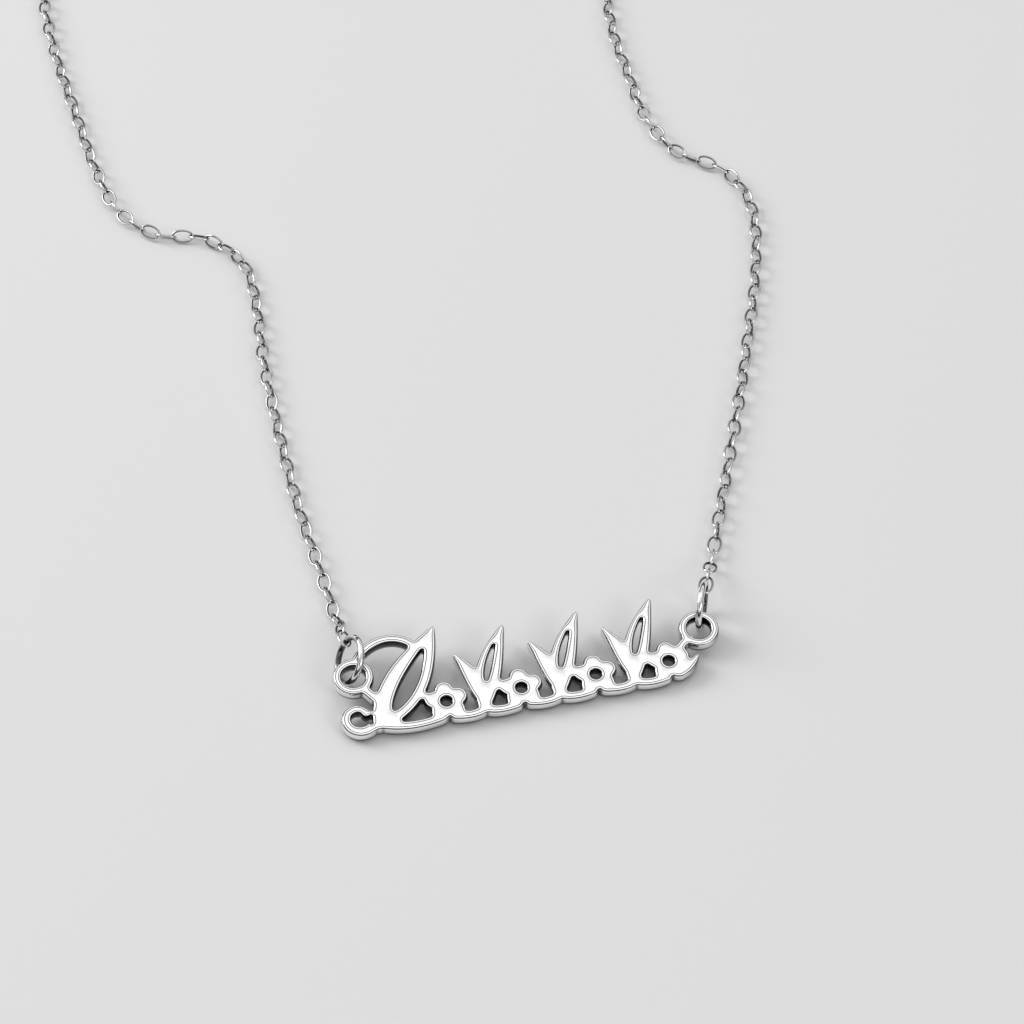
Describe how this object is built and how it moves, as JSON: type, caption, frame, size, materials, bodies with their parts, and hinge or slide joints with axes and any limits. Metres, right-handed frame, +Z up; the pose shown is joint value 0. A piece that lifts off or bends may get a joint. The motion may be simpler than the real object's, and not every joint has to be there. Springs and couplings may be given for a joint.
{
  "type": "nameplate necklace",
  "caption": "Fine cable chain necklace with a pierced scroll front plate held by jump rings and a plain clasp, laid out as a closed loop.",
  "frame": {"origin": "middle of the laid out necklace, on the surface that it lies on", "axes": "+X to the right as the plate faces the viewer, +Y from the front plate to the clasp, +Z up from the surface"},
  "size_m": [0.0785, 0.1725, 0.0049],
  "materials": {
    "plate_silver": "polished sterling silver with soft wear",
    "ring_silver": "polished sterling silver wire",
    "chain_silver": "bright drawn silver wire",
    "clasp_silver": "polished silver"
  },
  "bodies": {
    "root": {"scroll_plate": "plate_silver", "ring_left": "ring_silver", "ring_right": "ring_silver", "chain_left": "chain_silver", "chain_right": "chain_silver", "clasp": "clasp_silver"}
  },
  "joints": []
}
